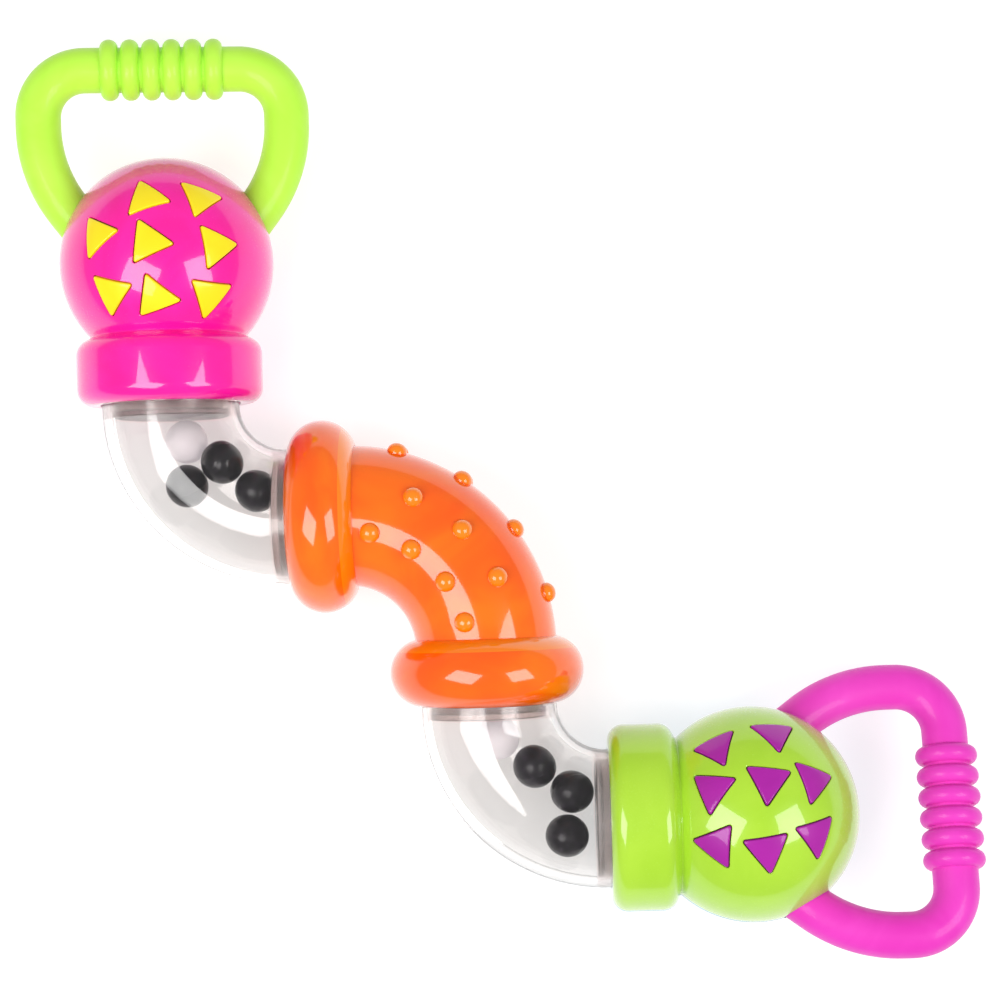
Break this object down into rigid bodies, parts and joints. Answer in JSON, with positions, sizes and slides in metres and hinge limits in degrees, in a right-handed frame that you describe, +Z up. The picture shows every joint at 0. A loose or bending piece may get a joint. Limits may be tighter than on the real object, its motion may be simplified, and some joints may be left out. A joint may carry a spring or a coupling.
{
  "type": "baby rattle",
  "caption": "Twist rattle with ball heads, ribbed loop handles, and clear bead-filled elbows turning on a bumpy middle elbow.",
  "frame": {"origin": "under the middle of the toy's bounding box, at its lowest point, with the toy lying flat", "axes": "+Z up through the flat-lying toy, +Y from the middle elbow towards the upper head's handle, +X towards the lower head's handle; the four swivel axes lie in one plane parallel to XY"},
  "size_m": [0.2344, 0.2332, 0.0543],
  "materials": {
    "pink_plastic": "gloss moulded ABS, strong pink",
    "lime_plastic": "gloss moulded ABS, lime",
    "teal_plastic": "gloss moulded ABS, turquoise",
    "yellow_plastic": "satin moulded plastic, yellow",
    "purple_plastic": "satin moulded plastic, purple",
    "green_handle_plastic": "satin soft plastic, light green",
    "magenta_handle_plastic": "satin soft plastic, magenta",
    "orange_plastic": "gloss, slightly translucent, orange",
    "clear_plastic": "clear moulded plastic",
    "black_bead_plastic": "gloss plastic, black",
    "white_bead_plastic": "satin plastic, white"
  },
  "bodies": {
    "orange_elbow": {"orange_elbow_front": "orange_plastic", "orange_elbow_rear": "orange_plastic"},
    "upper_elbow": {"upper_clear_elbow_front": "clear_plastic", "upper_clear_elbow_rear": "clear_plastic", "upper_head_plug": "clear_plastic", "upper_middle_plug": "clear_plastic"},
    "upper_head": {"upper_front_shell": "pink_plastic", "upper_rear_shell": "pink_plastic", "upper_front_triangles": "yellow_plastic", "upper_rear_triangles": "yellow_plastic", "upper_handle": "green_handle_plastic"},
    "upper_white_bead": {"upper_white_bead": "white_bead_plastic"},
    "upper_black_bead_1": {"upper_black_bead_1": "black_bead_plastic"},
    "upper_black_bead_2": {"upper_black_bead_2": "black_bead_plastic"},
    "upper_black_bead_3": {"upper_black_bead_3": "black_bead_plastic"},
    "lower_elbow": {"lower_clear_elbow_front": "clear_plastic", "lower_clear_elbow_rear": "clear_plastic", "lower_head_plug": "clear_plastic", "lower_middle_plug": "clear_plastic"},
    "lower_head": {"lower_front_shell": "lime_plastic", "lower_rear_shell": "teal_plastic", "lower_front_triangles": "purple_plastic", "lower_rear_triangles": "purple_plastic", "lower_handle": "magenta_handle_plastic"},
    "lower_white_bead": {"lower_white_bead": "white_bead_plastic"},
    "lower_black_bead_1": {"lower_black_bead_1": "black_bead_plastic"},
    "lower_black_bead_2": {"lower_black_bead_2": "black_bead_plastic"},
    "lower_black_bead_3": {"lower_black_bead_3": "black_bead_plastic"}
  },
  "joints": [
    {"name": "upper_elbow_swivel", "type": "hinge", "parent": "orange_elbow", "child": "upper_elbow", "pos_m": [-0.04341, -0.00434, 0.02716], "axis": [1, 0, 0], "continuous": true},
    {"name": "lower_elbow_swivel", "type": "hinge", "parent": "orange_elbow", "child": "lower_elbow", "pos_m": [-0.00381, -0.04394, 0.02716], "axis": [0, 1, 0], "range_deg": [-90, 90]},
    {"name": "upper_head_swivel", "type": "hinge", "parent": "upper_elbow", "child": "upper_head", "pos_m": [-0.08087, 0.06006, 0.02716], "axis": [0, 1, 0], "continuous": true},
    {"name": "lower_head_swivel", "type": "hinge", "parent": "lower_elbow", "child": "lower_head", "pos_m": [0.06059, -0.0814, 0.02716], "axis": [1, 0, 0], "continuous": true},
    {"name": "upper_white_bead_roll", "type": "hinge", "parent": "upper_elbow", "child": "upper_white_bead", "pos_m": [-0.07945, 0.01562, 0.02716], "axis": [-0.309, 0.9511, 0], "range_deg": [0, 120]},
    {"name": "upper_black_bead_1_roll", "type": "hinge", "parent": "upper_elbow", "child": "upper_black_bead_1", "pos_m": [-0.07505, 0.00716, 0.02716], "axis": [-0.6018, 0.7986, 0], "range_deg": [0, 120]},
    {"name": "upper_black_bead_2_roll", "type": "hinge", "parent": "upper_elbow", "child": "upper_black_bead_2", "pos_m": [-0.07411, 0.00598, 0.02716], "axis": [-0.6428, 0.766, 0], "range_deg": [0, 120]},
    {"name": "upper_black_bead_3_roll", "type": "hinge", "parent": "upper_elbow", "child": "upper_black_bead_3", "pos_m": [-0.0628, -0.00224, 0.02716], "axis": [-0.9272, 0.3746, 0], "range_deg": [0, 120]},
    {"name": "lower_white_bead_roll", "type": "hinge", "parent": "lower_elbow", "child": "lower_white_bead", "pos_m": [-0.0024, -0.06143, 0.02716], "axis": [-0.309, 0.9511, 0], "range_deg": [0, 120]},
    {"name": "lower_black_bead_1_roll", "type": "hinge", "parent": "lower_elbow", "child": "lower_black_bead_1", "pos_m": [0.00361, -0.07184, 0.02716], "axis": [-0.6691, 0.7431, 0], "range_deg": [0, 120]},
    {"name": "lower_black_bead_2_roll", "type": "hinge", "parent": "lower_elbow", "child": "lower_black_bead_2", "pos_m": [0.01473, -0.07948, 0.02716], "axis": [-0.9336, 0.3584, 0], "range_deg": [0, 120]},
    {"name": "lower_black_bead_3_roll", "type": "hinge", "parent": "lower_elbow", "child": "lower_black_bead_3", "pos_m": [0.01664, -0.08014, 0.02716], "axis": [-0.9563, 0.2924, 0], "range_deg": [0, 120]}
  ],
  "couplings": [
    {"joint": "upper_black_bead_1_roll", "follows": "upper_white_bead_roll", "ratio": 1},
    {"joint": "upper_black_bead_2_roll", "follows": "upper_white_bead_roll", "ratio": 1},
    {"joint": "upper_black_bead_3_roll", "follows": "upper_white_bead_roll", "ratio": 1},
    {"joint": "lower_black_bead_1_roll", "follows": "lower_white_bead_roll", "ratio": 1},
    {"joint": "lower_black_bead_2_roll", "follows": "lower_white_bead_roll", "ratio": 1},
    {"joint": "lower_black_bead_3_roll", "follows": "lower_white_bead_roll", "ratio": 1}
  ]
}
